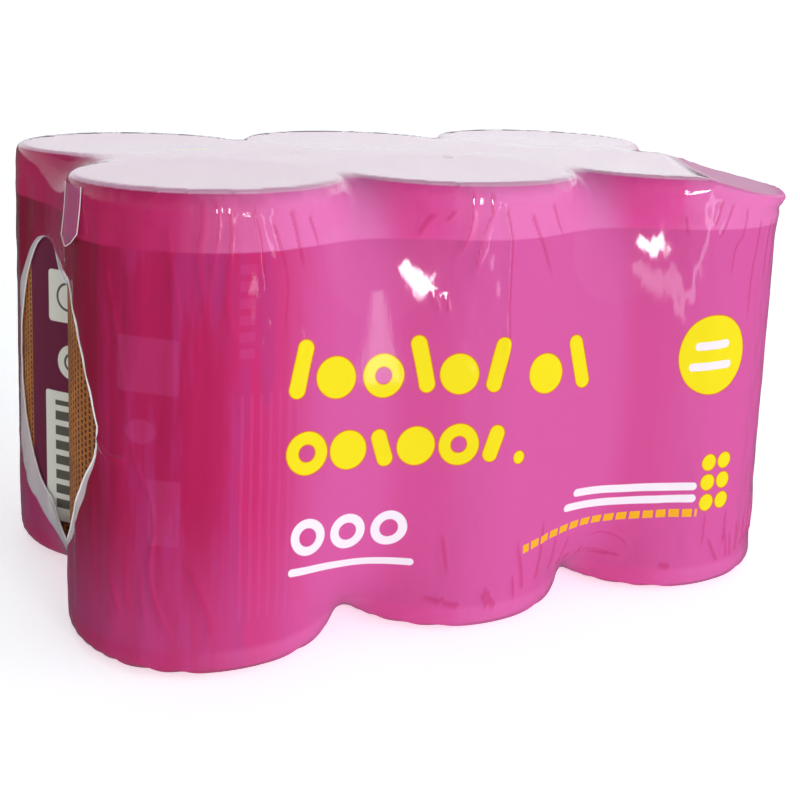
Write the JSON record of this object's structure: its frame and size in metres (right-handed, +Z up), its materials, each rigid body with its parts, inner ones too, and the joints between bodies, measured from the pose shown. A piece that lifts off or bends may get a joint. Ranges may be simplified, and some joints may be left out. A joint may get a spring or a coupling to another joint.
{
  "type": "shrink-wrapped pack of drink cans",
  "caption": "Two rows of slim drink cans held together by a glossy printed shrink film with an oval opening at each end.",
  "frame": {"origin": "middle of the pack's flat underside", "axes": "+X along the pack's long side, towards the can with the dented rim; +Y from the printed front to the back; +Z up"},
  "size_m": [0.1622, 0.1084, 0.0926],
  "materials": {
    "film": "glossy printed shrink film, translucent",
    "can": "satin printed lacquer over bare aluminium neck and lid"
  },
  "bodies": {
    "root": {"film": "film", "can_front_left": "can", "can_front_middle": "can", "can_front_right": "can", "can_back_left": "can", "can_back_middle": "can", "can_back_right": "can"}
  },
  "joints": []
}
